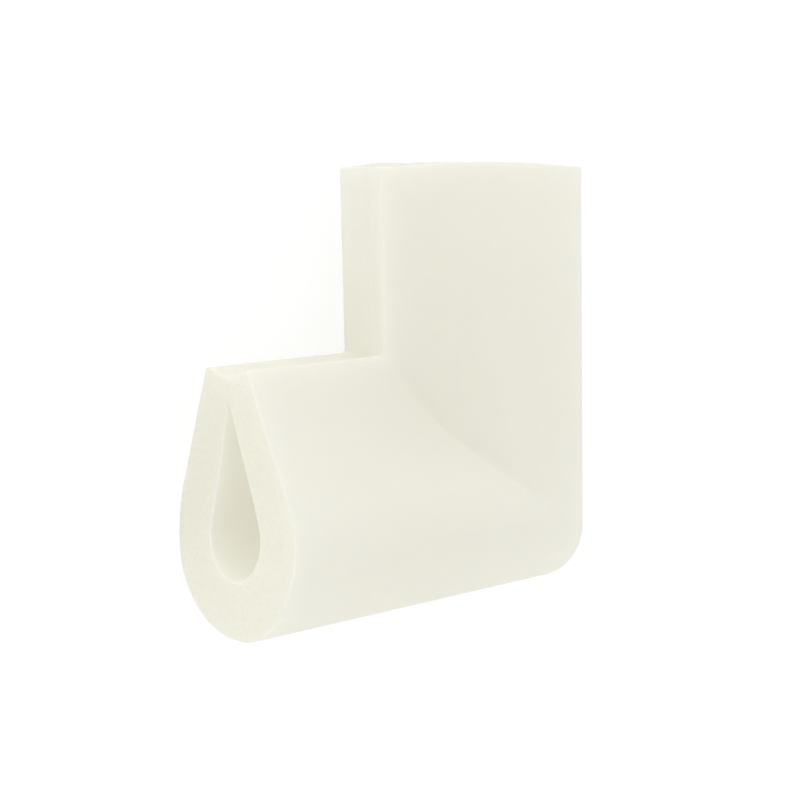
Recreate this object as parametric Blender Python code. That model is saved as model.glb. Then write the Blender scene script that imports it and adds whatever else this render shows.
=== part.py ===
# Clip-on corner guard for a table top: one length of foam rubber folded to a right angle.
#
# The guard lies on its side. Its arms run along +X and +Y from the outer corner, and +Z is the
# width of the section. The origin is the bottom centre of the guard's box.
#
# The section is drawn in two measures: depth runs from the round back, on the outside of the
# corner, to the lips on the inside, and side runs from the middle plane to the flanks.

import math

import bmesh
import bpy

# Driving sizes, in metres
ARM_X_LENGTH = 0.077
ARM_Y_LENGTH = 0.0735
SECTION_DEPTH = 0.045
BACK_RADIUS = 0.0172
BACK_WALL = 0.0099
BORE_RADIUS = 0.0073
BORE_TIP_DEPTH = 0.0398
LIP_HALF_SPREAD = 0.0066
LIP_RADIUS = 0.001
LIP_NOTCH = 0.0013
SLIT_GAP = 0.0003
CORNER_RADIUS = 0.008
FOLD_DEPTH = 0.0185
CREASE_RADIUS = 0.0009
CREASE_START_DEPTH = 0.0155
PINCH_DEPTH = 0.0022
CREASE_BOW = 0.0026
CREASE_SKEW = 1.3
CREASE_FULLNESS = 0.8

# Fineness of the curved stretches
BACK_STEPS = 12
SHOULDER_STEPS = 4
FLANK_STEPS = 6
LIP_STEPS = 4
NOTCH_STEPS = 4
BORE_STEPS = 12
TAPER_STEPS = 5
CORNER_STEPS = 8
ARM_STEPS = 4

SMOOTH_ANGLE = math.radians(35)
FOAM_CREAM = (0.831, 0.823, 0.723, 1.0)
FOAM_ROUGHNESS = 0.85


def clear_scene():
    for item in list(bpy.data.objects):
        bpy.data.objects.remove(item, do_unlink=True)


def arc(centre_depth, centre_side, radius, start, end, steps):
    """Points on a circle. The angle is measured from the flank side towards the lips."""
    points = []
    for step in range(steps + 1):
        angle = start + (end - start) * step / steps
        depth = centre_depth + radius * math.sin(angle)
        side = centre_side + radius * math.cos(angle)
        points.append((depth, side))
    return points


def line(start, end, steps):
    """Points between two ends, without the ends."""
    return [
        (
            start[0] + (end[0] - start[0]) * step / steps,
            start[1] + (end[1] - start[1]) * step / steps,
        )
        for step in range(1, steps)
    ]


def lip_centre():
    return SECTION_DEPTH - LIP_RADIUS, LIP_HALF_SPREAD - LIP_RADIUS


def flank_taper():
    """The angle of a flank, which is the common tangent of the back's circle and a lip's circle."""
    lip_depth, lip_side = lip_centre()
    reach = math.hypot(lip_depth - BACK_RADIUS, lip_side)
    lean = math.atan2(lip_side, lip_depth - BACK_RADIUS)
    return math.asin((BACK_RADIUS - LIP_RADIUS) / reach) - lean


def half_width(depth):
    """Half the width of the outside at a depth: on the back's circle, then on the flank."""
    taper = flank_taper()
    flank_start = BACK_RADIUS + BACK_RADIUS * math.sin(taper)
    if depth < flank_start:
        return math.sqrt(BACK_RADIUS**2 - (BACK_RADIUS - depth) ** 2)
    return BACK_RADIUS * math.cos(taper) - (depth - flank_start) * math.tan(taper)


def outer_half():
    """Half of the outside, from the middle of the back, over one lip, to the mouth of the slit."""
    lip_depth, lip_side = lip_centre()
    taper = flank_taper()

    back = arc(BACK_RADIUS, 0.0, BACK_RADIUS, -math.pi / 2, 0.0, BACK_STEPS)
    shoulder = arc(BACK_RADIUS, 0.0, BACK_RADIUS, 0.0, taper, SHOULDER_STEPS)
    lip = arc(lip_depth, lip_side, LIP_RADIUS, taper, math.pi / 2, LIP_STEPS)
    flank = line(shoulder[-1], lip[0], FLANK_STEPS)

    # The notch between the lips falls to the slit along half a cosine wave
    notch = []
    for step in range(1, NOTCH_STEPS + 1):
        share = step / NOTCH_STEPS
        depth = SECTION_DEPTH - LIP_NOTCH * (1 - math.cos(math.pi * share)) / 2
        side = lip_side + (SLIT_GAP / 2 - lip_side) * share
        notch.append((depth, side))
    return back + shoulder[1:] + flank + lip + notch


def bore_half():
    """Half of the bore, from its bottom to the foot of the slit, where it is as narrow as the slit."""
    centre = BACK_WALL + BORE_RADIUS
    taper = math.asin(BORE_RADIUS / (BORE_TIP_DEPTH - centre))
    bottom = arc(centre, 0.0, BORE_RADIUS, -math.pi / 2, taper, BORE_STEPS)
    tip = (BORE_TIP_DEPTH - SLIT_GAP / 2 / math.tan(taper), SLIT_GAP / 2)
    return bottom + line(bottom[-1], tip, TAPER_STEPS) + [tip]


def section_loop():
    """The whole section as one loop: the slit joins the bore to the outside."""
    outside = outer_half()
    bore = bore_half()
    mirrored_bore = [(depth, -side) for depth, side in bore[1:]]
    mirrored_outside = [(depth, -side) for depth, side in outside[1:]]
    return outside + bore[::-1] + mirrored_bore + mirrored_outside[::-1]


def fold_radius(depth):
    """The fold is round at the back and tightens evenly until it is a crease, near FOLD_DEPTH."""
    return max(CORNER_RADIUS * (1 - depth / FOLD_DEPTH), CREASE_RADIUS)


def crease_share(depth):
    """How far the fold is pinched at a depth: not at the back or the lips, fully between them."""
    reach = (depth - CREASE_START_DEPTH) / (SECTION_DEPTH - CREASE_START_DEPTH)
    if not 0.0 < reach < 1.0:
        return 0.0
    return math.sin(math.pi * reach**CREASE_SKEW) ** CREASE_FULLNESS


def section_at_corner(loop, share):
    """The section at one place round the fold. Share runs from 0 on the X arm to 1 on the Y arm.

    The foam is pinched thinner at the crease, and the crease bows towards the Y arm.
    """
    turn = share * math.pi / 2
    ring = []
    for depth, side in loop:
        radius = fold_radius(depth)
        crease = crease_share(depth)
        x = depth + radius * (1 - math.sin(turn)) - crease * CREASE_BOW / 2
        y = depth + radius * (1 - math.cos(turn)) + crease * CREASE_BOW / 2
        if crease > 0.0:
            side *= 1 - crease * PINCH_DEPTH / half_width(depth)
        ring.append((x, y, side))
    return ring


def between(start_ring, end_ring, steps):
    """The sections from one ring up to the next, without the last. They narrow evenly on the way."""
    rings = []
    for step in range(steps):
        share = step / steps
        rings.append(
            [
                tuple(a + (b - a) * share for a, b in zip(start, end))
                for start, end in zip(start_ring, end_ring)
            ]
        )
    return rings


def stations():
    """Every section along the guard, from the end of the X arm to the end of the Y arm."""
    loop = section_loop()
    x_end = [(ARM_X_LENGTH, depth, side) for depth, side in loop]
    y_end = [(depth, ARM_Y_LENGTH, side) for depth, side in loop]
    corner = [section_at_corner(loop, step / CORNER_STEPS) for step in range(CORNER_STEPS + 1)]
    x_arm = between(x_end, corner[0], ARM_STEPS)
    y_arm = between(y_end, corner[-1], ARM_STEPS)
    return x_arm + corner + y_arm[::-1]


def foam_material():
    material = bpy.data.materials.new("cream_foam_rubber")
    material.use_nodes = True
    shader = material.node_tree.nodes["Principled BSDF"]
    shader.inputs["Base Color"].default_value = FOAM_CREAM
    shader.inputs["Roughness"].default_value = FOAM_ROUGHNESS
    shader.inputs["Metallic"].default_value = 0.0
    return material


def corner_guard():
    rings = stations()
    shape = bmesh.new()
    first_end = shape.faces.new([shape.verts.new(point) for point in rings[0]])
    face = first_end
    for ring in rings[1:]:
        grown = bmesh.ops.extrude_face_region(shape, geom=[face])["geom"]
        # Only the cut ends of the arms stay as faces across the section
        if face is not first_end:
            bmesh.ops.delete(shape, geom=[face], context="FACES_ONLY")
        face = next(item for item in grown if isinstance(item, bmesh.types.BMFace))
        for vertex, point in zip(face.verts, ring):
            vertex.co = point
    bmesh.ops.recalc_face_normals(shape, faces=shape.faces)

    mesh = bpy.data.meshes.new("corner_guard")
    shape.to_mesh(mesh)
    shape.free()
    mesh.shade_smooth()
    mesh.set_sharp_from_angle(angle=SMOOTH_ANGLE)
    mesh.materials.append(foam_material())

    guard = bpy.data.objects.new("corner_guard", mesh)
    guard.location = (-ARM_X_LENGTH / 2, -ARM_Y_LENGTH / 2, BACK_RADIUS)
    bpy.context.scene.collection.objects.link(guard)
    return guard


clear_scene()
corner_guard()
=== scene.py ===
import math

import bpy
import numpy as np
from mathutils import Matrix, Vector


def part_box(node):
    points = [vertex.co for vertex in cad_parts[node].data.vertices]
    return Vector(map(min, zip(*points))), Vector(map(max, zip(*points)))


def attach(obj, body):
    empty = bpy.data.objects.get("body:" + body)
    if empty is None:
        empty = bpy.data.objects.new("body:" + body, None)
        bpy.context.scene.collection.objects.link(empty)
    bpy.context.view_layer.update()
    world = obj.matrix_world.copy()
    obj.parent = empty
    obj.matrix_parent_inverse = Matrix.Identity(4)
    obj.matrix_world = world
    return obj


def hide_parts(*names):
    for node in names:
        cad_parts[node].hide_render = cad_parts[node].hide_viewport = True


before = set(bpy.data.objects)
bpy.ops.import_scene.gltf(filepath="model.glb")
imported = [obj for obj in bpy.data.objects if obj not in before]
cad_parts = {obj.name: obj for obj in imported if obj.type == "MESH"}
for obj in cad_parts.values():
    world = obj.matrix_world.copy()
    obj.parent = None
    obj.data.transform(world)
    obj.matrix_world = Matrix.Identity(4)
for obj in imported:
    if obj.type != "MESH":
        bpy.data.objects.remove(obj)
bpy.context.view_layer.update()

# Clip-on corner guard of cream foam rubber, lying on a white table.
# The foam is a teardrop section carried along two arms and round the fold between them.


def hexColour(code):
    # sRGB hex to linear: a dark channel is divided by 12.92, and any other is lifted by 0.055, divided
    # by 1.055 and raised to the power 2.4
    channels = [int(code[place:place + 2], 16) / 255 for place in (0, 2, 4)]
    linear = [c / 12.92 if c <= 0.04045 else ((c + 0.055) / 1.055) ** 2.4 for c in channels]
    return (*linear, 1.0)


def addNode(tree, kind, settings=None, values=None, links=None):
    # One node: settings are its own options, values go into its inputs, and links come from the outputs
    # of other nodes
    node = tree.nodes.new(kind)
    for name, setting in (settings or {}).items():
        setattr(node, name, setting)
    for name, value in (values or {}).items():
        node.inputs[name].default_value = value
    for name, source in (links or {}).items():
        tree.links.new(source, node.inputs[name])
    return node


# The guard. Sizes are in metres. Depth runs from the round back to the lips, and side from the middle
# plane to the flanks.
guard = {
    "node": "corner_guard",
    "sectionDepth": 0.045,
    "backWall": 0.0099,        # foam between the back and the bore
    "boreRadius": 0.0073,
    "boreTipDepth": 0.0398,    # where the two walls of the bore meet
    "lipHalfSpread": 0.0063,   # half the width across both lips
    "lipRadius": 0.0006,
    "lipNotch": 0.0013,        # how far the notch falls between the lips
    "upperLipRise": 0.0006,    # how much further out the upper lip stands than the lower one
    "lipRiseStart": 0.033,     # the rise begins at this depth
    "slitMark": 0.00005,       # the slit is a shut cut between the lips, so only its hairline is marked
    "cornerRadius": 0.008,     # round of the fold, on the outside
    "foldDepth": 0.0185,       # past this depth the fold is a crease
    "creaseRadius": 0.0009,
    "creaseBlend": 0.0004,     # how gently the round of the fold runs out into the crease
    "creaseStart": 0.0155,     # the pinch begins here and ends at the lips
    "pinch": 0.0022,           # how far a flank sinks in at the crease
    "creaseBow": 0.0026,       # how far the crease bows towards the Y arm
    "creaseSkew": 1.3,         # above 1, so the pinch is deepest nearer the lips
    "creaseFullness": 0.8,     # below 1, so the pinch is broader than a sine wave
    "backFullness": 0.11,      # how much fuller than a circle the outer half of the back is
    # How far each knife cut strays from square at the back, how far it strays past the middle, and the
    # depth of that second place
    "cutStrayX": (-0.0007, 0.0006, 0.030),
    "cutStrayY": (0.0006, -0.0006, 0.022),
    "cutStrayStart": 0.005,    # the stray at the back holds up to this depth
    "cutEdge": 0.0002,         # round of the knife-cut edges
    "tipFade": 0.006,          # the bore's cut edge turns sharp over this length, up to the tip
    "cellSize": 0.0011,        # spacing of the open cells on a cut end, coarser than real ones, to show
    "cellReach": 0.75,         # radius of a cell's pit, as a share of that spacing
    "cellDepth": 0.00003,
    "cellFade": 0.125,         # share of the wall, from each of its edges, over which the pits fade out
    "cellCount": 64,           # the scattered cells repeat after this many, each way
    "cellSeeds": (3, 8),       # for the cut ends of the X arm and the Y arm
    "sharpAngle": 50,          # degrees between two faces, above which their edge is shaded sharp
    "crowding": 2,             # how strongly the points crowd towards the slit and the bore's tip
    "boreTurn": 0.72,          # share of the bore's straight wall that goes with the flank, not the lip
    # The number of steps in each stretch of the mesh
    "backSteps": 60,
    "flankSteps": 34,
    "lipSteps": 10,
    "notchSteps": 16,
    "throughSteps": 36,
    "armSteps": 56,
    "foldSteps": 14,
    "edgeSteps": 4,
}

low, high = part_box(guard["node"])
armX = high.x - low.x
armY = high.y - low.y
backRadius = (high.z - low.z) / 2


def arc(centreDepth, centreSide, radius, start, end, steps):
    # Circle: depth = centre + radius sin a, side = centre + radius cos a, for a from start to end
    a = np.linspace(start, end, steps + 1)
    return np.stack([centreDepth + radius * np.sin(a), centreSide + radius * np.cos(a)], axis=1)


def straight(start, end, steps, crowding=1):
    # Line: start + (end - start) t, for t from 0 to 1. Crowding above 1 draws the points to the end.
    t = 1 - (1 - np.linspace(0, 1, steps + 1)[:, None]) ** crowding
    return start + (end - start) * t


def outerHalf():
    # Half of the outside: the back's circle, its common tangent with the lip's circle, the lip,
    # and the notch, which falls to the slit along half a cosine wave. The outer half of the back is
    # fuller than a circle: side = radius (cos a) to the power 1 / (1 + fullness).
    lipDepth = guard["sectionDepth"] - guard["lipRadius"]
    lipSide = guard["lipHalfSpread"] - guard["lipRadius"]
    reach = math.hypot(lipDepth - backRadius, lipSide)
    lean = math.atan2(lipSide, lipDepth - backRadius)
    taper = math.asin((backRadius - guard["lipRadius"]) / reach) - lean
    back = arc(backRadius, 0, backRadius, -math.pi / 2, taper, guard["backSteps"])
    full = (back[:, 1] / backRadius).clip(0) ** (1 / (1 + guard["backFullness"])) * backRadius
    back[:, 1] = np.where(back[:, 0] < backRadius, full, back[:, 1])
    lip = arc(lipDepth, lipSide, guard["lipRadius"], taper, math.pi / 2, guard["lipSteps"])
    flank = straight(back[-1], lip[0], guard["flankSteps"])
    t = straight(0, 1, guard["notchSteps"], guard["crowding"])[:, 0]
    notchDepth = guard["sectionDepth"] - guard["lipNotch"] * (1 - np.cos(math.pi * t)) / 2
    notch = np.stack([notchDepth, lipSide * (1 - t)], axis=1)
    return np.concatenate([back, flank[1:], lip[1:], notch[1:]])


def boreHalf():
    # Half of the bore: its round bottom, then a tangent to its tip, with as many points as the outside.
    # The last part of the straight wall has the points that lie behind the lip and the notch.
    centre = guard["backWall"] + guard["boreRadius"]
    taper = math.asin(guard["boreRadius"] / (guard["boreTipDepth"] - centre))
    bottom = arc(centre, 0, guard["boreRadius"], -math.pi / 2, taper, guard["backSteps"])
    tip = np.array([guard["boreTipDepth"], 0.0])
    turn = bottom[-1] + (tip - bottom[-1]) * guard["boreTurn"]
    lower = straight(bottom[-1], turn, guard["flankSteps"])
    upper = straight(turn, tip, guard["lipSteps"] + guard["notchSteps"], guard["crowding"])
    return np.concatenate([bottom, lower[1:], upper[1:]])


def closedRing(half):
    # From the slit over one lip, round the back and over the other lip, to just before the slit
    return np.concatenate([half[::-1], half[1:-1] * [1, -1]])


def intoFoam(ring, turn):
    # Unit normals of a closed ring: its tangent turned a right angle, to one side or the other
    tangent = np.roll(ring, -1, axis=0) - np.roll(ring, 1, axis=0)
    tangent /= np.linalg.norm(tangent, axis=1)[:, None]
    return np.stack([turn * tangent[:, 1], -turn * tangent[:, 0]], axis=1)


def foldRadius(depth):
    # Falls in a straight line with depth to the crease's own radius, and bends gently where they meet:
    # crease radius + (over + root of (over squared + blend squared)) / 2, where over is how far the
    # straight line is above the crease's radius
    over = (guard["cornerRadius"] - guard["creaseRadius"]) * (1 - depth / guard["foldDepth"])
    return guard["creaseRadius"] + (over + np.sqrt(over ** 2 + guard["creaseBlend"] ** 2)) / 2


def creaseShare(depth):
    # How far the fold is pinched: the sine of (pi times t to the power skew), to the power fullness,
    # for t from 0 where the crease starts to 1 at the lips
    t = (depth - guard["creaseStart"]) / (guard["sectionDepth"] - guard["creaseStart"])
    return np.sin(math.pi * np.clip(t, 0, 1) ** guard["creaseSkew"]).clip(0) ** guard["creaseFullness"]


def halfWidth(depth):
    # Half the width of the outside at a depth, read between the points of its back and flank
    outside = outerHalf()[:guard["backSteps"] + guard["flankSteps"] + 1]
    return np.interp(depth, outside[:, 0], outside[:, 1])


def cutStray(depth, stray):
    # Half cosine waves join the stray at the back, the one past the middle, and none at the lips
    atBack, atMiddle, middle = stray
    start, end = guard["cutStrayStart"], guard["sectionDepth"]
    rise = (1 - np.cos(math.pi * np.clip((depth - start) / (middle - start), 0, 1))) / 2
    fall = (1 - np.cos(math.pi * np.clip((depth - middle) / (end - middle), 0, 1))) / 2
    return atBack + (atMiddle - atBack) * rise - atMiddle * fall


def carried(ring, inward):
    # The section at every ring from the cut end of the X arm, round the fold, to that of the Y arm.
    # The cut edge is a quarter circle: set back by edge (1 - cos a), inset by edge (1 - sin a). From
    # there each point runs along its arm in a straight line to the fold.
    edge = guard["cutEdge"]
    a = np.linspace(0, math.pi / 2, guard["edgeSteps"] + 1)[:-1]
    plain = np.zeros(guard["armSteps"] + 1)
    inset = np.concatenate([edge * (1 - np.sin(a)), plain])[:, None]
    setBack = np.concatenate([edge * (1 - np.cos(a)), plain + edge])[:, None]
    run = np.concatenate([a * 0, np.linspace(0, 1, guard["armSteps"] + 1)])[:, None]

    depth = ring[:, 0] + inset * inward[:, 0]
    side = ring[:, 1] + inset * inward[:, 1]
    # The flanks sink in evenly from the cut end to the crease, and drift by half its bow
    crease = creaseShare(depth)
    side = side * (1 - run * crease * guard["pinch"] / halfWidth(depth).clip(guard["lipHalfSpread"]))
    bow = crease * guard["creaseBow"] / 2
    radius = foldRadius(depth)
    endX = armX - setBack + cutStray(depth, guard["cutStrayX"])
    endY = armY - setBack + cutStray(depth, guard["cutStrayY"])
    alongX = endX + (depth + radius - bow - endX) * run
    alongY = endY + (depth + radius + bow - endY) * run
    onX = np.stack([alongX, depth + bow * run, side], axis=2)
    onY = np.stack([depth - bow * run, alongY, side], axis=2)

    # Round the fold: x = depth + radius (1 - sin turn), y = depth + radius (1 - cos turn), and the bow
    turn = np.linspace(0, math.pi / 2, guard["foldSteps"] + 1)[1:-1, None]
    foldX = depth[-1] + radius[-1] * (1 - np.sin(turn)) - bow[-1]
    foldY = depth[-1] + radius[-1] * (1 - np.cos(turn)) + bow[-1]
    onFold = np.stack(np.broadcast_arrays(foldX, foldY, side[-1]), axis=2)
    return np.concatenate([onX, onFold, onY[::-1]])


def cellPits(across, up, seed):
    # Open cells of cut foam: 1 - distance to the nearest cell's middle / reach, and never below 0. Each
    # middle is at a random place in its own square of a grid.
    count = guard["cellCount"]
    middles = np.random.default_rng(seed).random((count, count, 2))
    u, v = across / guard["cellSize"], up / guard["cellSize"]
    column, row = np.floor(u).astype(int), np.floor(v).astype(int)
    nearest = np.full(u.shape, np.inf)
    for stepX in (-1, 0, 1):
        for stepY in (-1, 0, 1):
            middle = middles[(column + stepX) % count, (row + stepY) % count]
            gapX = column + stepX + middle[..., 0] - u
            gapY = row + stepY + middle[..., 1] - v
            nearest = np.minimum(nearest, np.hypot(gapX, gapY))
    return np.clip(1 - nearest / guard["cellReach"], 0, 1)


def quads(index, flip):
    # Four corners of every square of a grid of vertex numbers, the other way round where flip is True
    a, b, c, d = index[:-1, :-1], index[1:, :-1], index[1:, 1:], index[:-1, 1:]
    order = (a, d, c, b) if flip else (a, b, c, d)
    return np.stack(order, axis=-1).reshape(-1, 4)


def buildGuard():
    # The foam is a block with three measures: along the guard, around the section and through the wall.
    # It closes on itself around the section, so its four faces are the skin, the bore and the cut ends.
    outer, bore = closedRing(outerHalf()), closedRing(boreHalf())
    nearTip = np.clip((guard["boreTipDepth"] - bore[:, :1]) / guard["tipFade"], 0, 1)
    outer[0, 0] -= guard["slitMark"]      # the ring starts where the slit comes out
    # The rise grows with the square of the share of the way to the upper lip, in depth times in side
    rising = guard["sectionDepth"] - guard["lipRiseStart"]
    deep = np.clip((outer[:, 0] - guard["lipRiseStart"]) / rising, 0, 1)
    share = deep * np.clip(outer[:, 1] / guard["lipHalfSpread"], 0, 1)
    outer[:, 0] += guard["upperLipRise"] * share ** 2
    outerRings = carried(outer, intoFoam(outer, -1))
    boreRings = carried(bore, intoFoam(bore, 1) * nearTip)

    # Through the wall: skin (1 - w) + bore w, for w from 0 to 1
    w = np.linspace(0, 1, guard["throughSteps"] + 1)[None, None, :, None]
    block = outerRings[:, :, None, :] * (1 - w) + boreRings[:, :, None, :] * w

    # The knife opens cells on the two cut ends, but not at their very edges
    fade = np.clip(np.minimum(w, 1 - w) / guard["cellFade"], 0, 1)[0, :, :, 0]
    seedX, seedY = guard["cellSeeds"]
    for end, along, across, seed in ((0, 0, 1, seedX), (-1, 1, 0, seedY)):
        pits = cellPits(block[end, :, :, across], block[end, :, :, 2], seed)
        block[end, :, :, along] -= guard["cellDepth"] * fade * pits

    # Only the points on the block's faces are kept and numbered. The first column comes again as the
    # last, which closes the ring.
    shell = np.zeros(block.shape[:3], dtype=bool)
    shell[[0, -1]] = True
    shell[:, :, [0, -1]] = True
    index = np.full(block.shape[:3], -1)
    index[shell] = np.arange(shell.sum())
    index = np.concatenate([index, index[:, :1]], axis=1)
    points = block[shell] + [low.x, low.y, backRadius]

    # Material 0 is the skin, outside and in the bore, and material 1 the two cut ends
    skinFaces = [quads(index[:, :, 0], False), quads(index[:, :, -1], True)]
    endFaces = [quads(index[0], False), quads(index[-1], True)]
    groups = skinFaces + endFaces
    faces = np.concatenate(groups)
    slots = np.repeat([0, 0, 1, 1], [len(group) for group in groups])

    mesh = bpy.data.meshes.new("foamGuard")
    mesh.from_pydata(points.tolist(), [], faces.tolist())
    mesh.polygons.foreach_set("material_index", slots)
    mesh.shade_smooth()
    mesh.set_sharp_from_angle(angle=math.radians(guard["sharpAngle"]))
    mesh.update()

    # Volume: a third of the sum over the faces of middle times normal, a normal being as long as its
    # face's area
    corners = points[faces]
    normals = np.cross(corners[:, 2] - corners[:, 0], corners[:, 3] - corners[:, 1]) / 2
    volume = (corners.mean(axis=1) * normals).sum() / 3
    print(f"foam guard: {len(faces) * 2} triangles, {volume * 1e6:.1f} cubic centimetres")
    return bpy.data.objects.new("foamGuard", mesh)


# The foam. NBR foam rubber, extruded: a closed, matt skin. Light scatters below it and seeps through
# the walls, so the bore is nearly as bright as the outside.
foam = {
    "skinLight": "FCFBF3",
    "skinDark": "FBFAF1",
    # The cut face's dark tone goes to random spots of grain and to the bottom of every cell pit, where
    # it is painted shade
    "cutLight": "F6F6ED",
    "cutDark": "F3F3EA",
    "roughness": 0.86,
    "ior": 1.5,
    "specular": 0.25,
    "scatter": 1.0,            # all of the foam's own colour comes from below its surface
    "scatterRadius": (0.0018, 0.0017, 0.0015),
    "scatterScale": 1.0,       # so that the radius is in metres
    "through": 0.45,           # share of the light that goes on into the foam and out at its far side
    "cloudSize": 0.014,        # the faint clouds in the skin's tone
    "cloudDetail": 3.0,
    "cloudRoughness": 0.55,
    "grainSize": 0.0009,       # the eggshell grain of the skin, coarser than the real one, to show
    "grainDetail": 2.0,
    "grainRoughness": 0.6,
    "skinBump": 0.00003,
    "cellSize": 0.0007,        # the opened cells of the cut face, coarser than real ones too
    "grainInCells": 0.5,       # how much of the grain is added to the cells
    "cutBump": 0.00008,
    "bumpStrength": 1.0,
    "darkFrom": 0.3,           # the pattern's level that gives the dark tone
    "skinLightFrom": 0.7,      # the level that gives the light tone, on the skin and on a cut face
    "cutLightFrom": 0.9,
}


def foamMaterial(name, lightTone, darkTone, cells):
    # Cells False: extruded skin, nearly even, with faint clouds and a fine eggshell grain.
    # Cells True: knife-cut foam, where opened cells make a fine, dry, sugary grain. The cells' pits
    # are also painted darker than their rims: painted shade in the pits.
    material = bpy.data.materials.new(name)
    material.use_nodes = True
    tree = material.node_tree
    shader = tree.nodes["Principled BSDF"]
    shader.inputs["Roughness"].default_value = foam["roughness"]
    shader.inputs["IOR"].default_value = foam["ior"]
    shader.inputs["Specular IOR Level"].default_value = foam["specular"]
    shader.inputs["Subsurface Weight"].default_value = foam["scatter"]
    shader.inputs["Subsurface Radius"].default_value = foam["scatterRadius"]
    shader.inputs["Subsurface Scale"].default_value = foam["scatterScale"]

    place = addNode(tree, "ShaderNodeTexCoord").outputs["Object"]
    clouds = addNode(tree, "ShaderNodeTexNoise", {}, {
        "Scale": 1 / foam["cloudSize"], "Detail": foam["cloudDetail"],
        "Roughness": foam["cloudRoughness"]}, {"Vector": place})
    grain = addNode(tree, "ShaderNodeTexNoise", {}, {
        "Scale": 1 / foam["grainSize"], "Detail": foam["grainDetail"],
        "Roughness": foam["grainRoughness"]}, {"Vector": place})
    share, lightFrom = clouds.outputs["Fac"], foam["skinLightFrom"]
    height, lift = grain.outputs["Fac"], foam["skinBump"]
    if cells:
        pits = addNode(tree, "ShaderNodeTexVoronoi", {}, {
            "Scale": 1 / foam["cellSize"]}, {"Vector": place})
        # The cell pattern sets both the bump and the tone, so the pits come out darker: painted shade,
        # added to the random grain
        mixed = addNode(tree, "ShaderNodeMath", {"operation": "MULTIPLY_ADD"}, {
            1: foam["grainInCells"]}, {0: grain.outputs["Fac"], 2: pits.outputs["Distance"]})
        share, lightFrom = mixed.outputs[0], foam["cutLightFrom"]
        height, lift = mixed.outputs[0], foam["cutBump"]
    level = addNode(tree, "ShaderNodeMapRange", {}, {
        "From Min": foam["darkFrom"], "From Max": lightFrom}, {"Value": share})
    # Inputs 6 and 7 of a mix of colours are the two colours, and output 2 is the mix
    colour = addNode(tree, "ShaderNodeMix", {"data_type": "RGBA"}, {
        6: hexColour(darkTone), 7: hexColour(lightTone)}, {0: level.outputs["Result"]})
    bump = addNode(tree, "ShaderNodeBump", {}, {
        "Strength": foam["bumpStrength"], "Distance": lift}, {"Height": height})
    tree.links.new(colour.outputs[2], shader.inputs["Base Color"])
    tree.links.new(bump.outputs["Normal"], shader.inputs["Normal"])
    seep = addNode(tree, "ShaderNodeBsdfTranslucent", {}, {}, {"Color": colour.outputs[2]})
    mix = addNode(tree, "ShaderNodeMixShader", {}, {0: foam["through"]}, {
        1: shader.outputs[0], 2: seep.outputs[0]})
    tree.links.new(mix.outputs[0], tree.nodes["Material Output"].inputs["Surface"])
    return material


guardPiece = buildGuard()
bpy.context.scene.collection.objects.link(guardPiece)
skin = foamMaterial("extrudedFoamSkin", foam["skinLight"], foam["skinDark"], False)
cut = foamMaterial("cutFoamCells", foam["cutLight"], foam["cutDark"], True)
guardPiece.data.materials.append(skin)
guardPiece.data.materials.append(cut)
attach(guardPiece, "root")
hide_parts(guard["node"])
print("foam guard: dressed")


# The table: matt white board. The camera sees it lit up to white, and it keeps a soft shadow.
table = {
    "halfSize": 1.6,
    "colour": "FCFCFC",
    "roughness": 0.7,
    "specular": 0.2,
    "glow": 0.75,              # share of plain white in what the camera sees of the board
    "glowStrength": 1.08,      # a little over 1, to make up for the board's own share
}


backgroundRays = ("Is Camera Ray", "Is Glossy Ray", "Is Transmission Ray")
plainWhite = (1, 1, 1, 1)


def whiteForCamera(tree, plain, white):
    # The plain shader for most rays, the white one for rays that show the background
    path = addNode(tree, "ShaderNodeLightPath")
    seen = path.outputs[backgroundRays[0]]
    for ray in backgroundRays[1:]:
        seen = addNode(tree, "ShaderNodeMath", {"operation": "MAXIMUM"}, {}, {
            0: seen, 1: path.outputs[ray]}).outputs[0]
    mix = addNode(tree, "ShaderNodeMixShader", {}, {}, {0: seen, 1: plain, 2: white})
    return mix.outputs[0]


def buildTable():
    # One flat square, from -half to half, at the height on which the guard lies
    half = table["halfSize"]
    corners = [(-half, -half, 0), (half, -half, 0), (half, half, 0), (-half, half, 0)]
    mesh = bpy.data.meshes.new("tableTop")
    mesh.from_pydata(corners, [], [(0, 1, 2, 3)])
    material = bpy.data.materials.new("whiteBoard")
    material.use_nodes = True
    tree = material.node_tree
    board = tree.nodes["Principled BSDF"]
    board.inputs["Base Color"].default_value = hexColour(table["colour"])
    board.inputs["Roughness"].default_value = table["roughness"]
    board.inputs["Specular IOR Level"].default_value = table["specular"]
    glow = addNode(tree, "ShaderNodeEmission", {}, {
        "Color": plainWhite, "Strength": table["glowStrength"]})
    lit = addNode(tree, "ShaderNodeMixShader", {}, {0: table["glow"]}, {
        1: board.outputs[0], 2: glow.outputs[0]})
    final = whiteForCamera(tree, board.outputs[0], lit.outputs[0])
    tree.links.new(final, tree.nodes["Material Output"].inputs["Surface"])
    mesh.materials.append(material)
    return bpy.data.objects.new("tableTop", mesh)


tablePiece = buildTable()
bpy.context.scene.collection.objects.link(tablePiece)
print("table: laid")


# Light: a white room, brighter round the horizon than overhead, with three wide soft lamps: one beyond
# the X arm's end, one behind the corner and one inside the angle of the arms.
light = {
    "horizonStrength": 1.11,
    "overheadStrength": 0.79,
    "seenStrength": 1.0,       # of the white that the camera sees behind the table
    "roomColour": "FFFFFF",
    "lampColour": "FFFFFF",
    "lampSize": 0.60,
    "lamps": [
        {"name": "topLamp", "place": (0.85, 0.00, 0.12), "watts": 0.9},
        {"name": "sideLamp", "place": (-0.40, -0.65, 0.45), "watts": 0.6},
        {"name": "innerLamp", "place": (0.60, 0.60, 0.12), "watts": 1.0},
    ],
}


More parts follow.
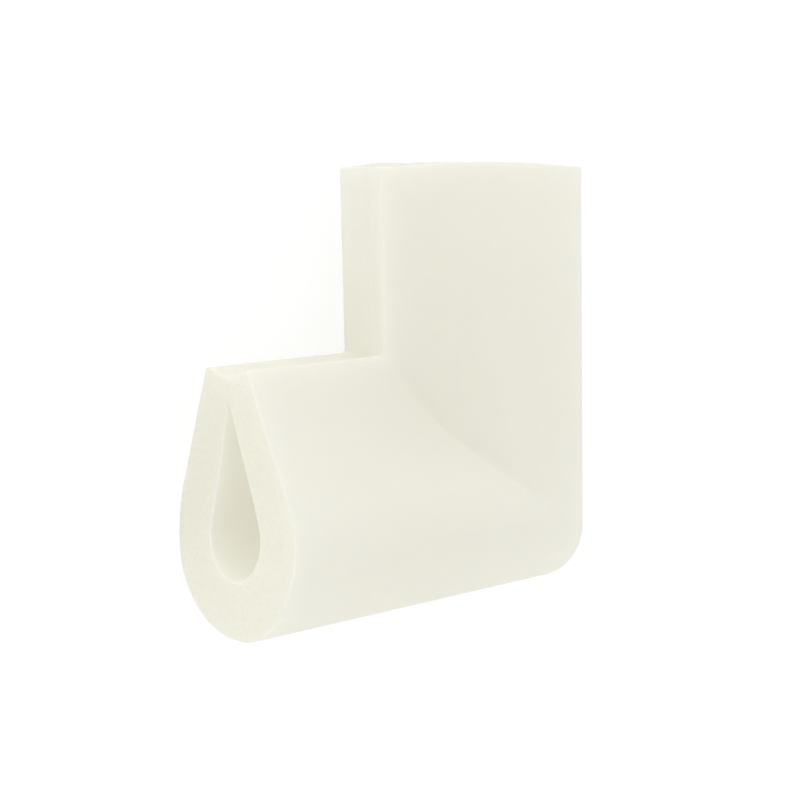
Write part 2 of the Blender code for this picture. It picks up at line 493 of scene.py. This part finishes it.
def buildLight():
    # The room's strength goes evenly with the height looked at, from the horizon's to that overhead,
    # and stays the horizon's below it. Each lamp is a disk that faces the guard's middle.
    world = bpy.data.worlds.new("studio")
    bpy.context.scene.world = world
    world.use_nodes = True
    tree = world.node_tree
    room = tree.nodes["Background"]
    room.inputs["Color"].default_value = hexColour(light["roomColour"])
    way = addNode(tree, "ShaderNodeTexCoord").outputs["Generated"]
    rise = addNode(tree, "ShaderNodeSeparateXYZ", {}, {}, {0: way}).outputs["Z"]
    level = addNode(tree, "ShaderNodeMapRange", {}, {
        "To Min": light["horizonStrength"], "To Max": light["overheadStrength"]}, {"Value": rise})
    tree.links.new(level.outputs["Result"], room.inputs["Strength"])
    white = addNode(tree, "ShaderNodeBackground", {}, {
        "Color": plainWhite, "Strength": light["seenStrength"]})
    final = whiteForCamera(tree, room.outputs[0], white.outputs[0])
    tree.links.new(final, tree.nodes["World Output"].inputs["Surface"])

    target = Vector((0, 0, backRadius))
    for lamp in light["lamps"]:
        data = bpy.data.lights.new(lamp["name"], "AREA")
        data.shape = "DISK"
        data.size = light["lampSize"]
        data.energy = lamp["watts"]
        data.color = hexColour(light["lampColour"])[:3]
        piece = bpy.data.objects.new(lamp["name"], data)
        piece.location = lamp["place"]
        piece.rotation_euler = (target - piece.location).to_track_quat("-Z", "Y").to_euler()
        bpy.context.scene.collection.objects.link(piece)


buildLight()
print("light: set")


# The camera looks down on the guard past the open end of its Y arm, turned on its side
camera = {
    "place": (0.04057, 0.18779, 0.25014),
    "aim": (-0.00924, -0.00476, 0.0172),
    "roll": 100.05,            # degrees, so that the X arm stands up in the picture
    "lens": 77.12,             # millimetres
    "sensor": 36.0,            # millimetres
    "shift": (-0.0314, 0.0452),
    "nearest": 0.01,           # nothing closer than this is drawn
}


def buildCamera():
    # The camera faces its aim, and is then rolled about its own line of sight
    data = bpy.data.cameras.new("photoCamera")
    data.lens = camera["lens"]
    data.sensor_width = camera["sensor"]
    data.shift_x, data.shift_y = camera["shift"]
    data.clip_start = camera["nearest"]
    piece = bpy.data.objects.new("photoCamera", data)
    place, aim = Vector(camera["place"]), Vector(camera["aim"])
    facing = (aim - place).to_track_quat("-Z", "Y").to_matrix().to_4x4()
    roll = Matrix.Rotation(math.radians(camera["roll"]), 4, "Z")
    piece.matrix_world = Matrix.Translation(place) @ facing @ roll
    bpy.context.scene.collection.objects.link(piece)
    bpy.context.scene.camera = piece


buildCamera()
bpy.context.scene.view_settings.view_transform = "Standard"
print("camera: placed")
